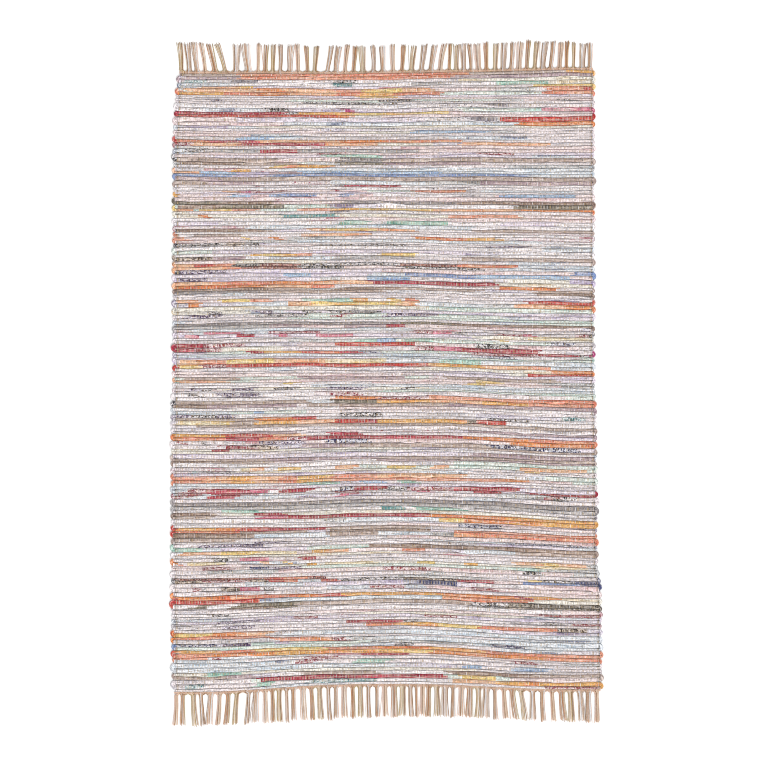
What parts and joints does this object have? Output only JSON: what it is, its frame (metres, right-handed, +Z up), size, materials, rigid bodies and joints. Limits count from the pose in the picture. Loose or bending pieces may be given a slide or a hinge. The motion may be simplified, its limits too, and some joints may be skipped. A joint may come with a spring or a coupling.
{
  "type": "rag rug",
  "caption": "Hand-woven flat rag rug of folded cotton strips in uneven multicoloured stripes, with a flat yarn fringe at both ends; lies on a floor.",
  "frame": {"origin": "middle of the rug with its fringes, on the floor under it", "axes": "+Z up from the floor through the pile side, +Y along the rug's length towards the far fringe"},
  "size_m": [1.258, 1.9967, 0.0072],
  "materials": {
    "rag_cotton": "matt folded cotton rags, off-white with coral, orange, taupe, blue and mint stripes",
    "warp_yarn": "matt two-ply yarn in ochre, tan and light grey"
  },
  "bodies": {
    "root": {"woven_field": "rag_cotton", "far_fringe": "warp_yarn", "near_fringe": "warp_yarn"}
  },
  "joints": []
}
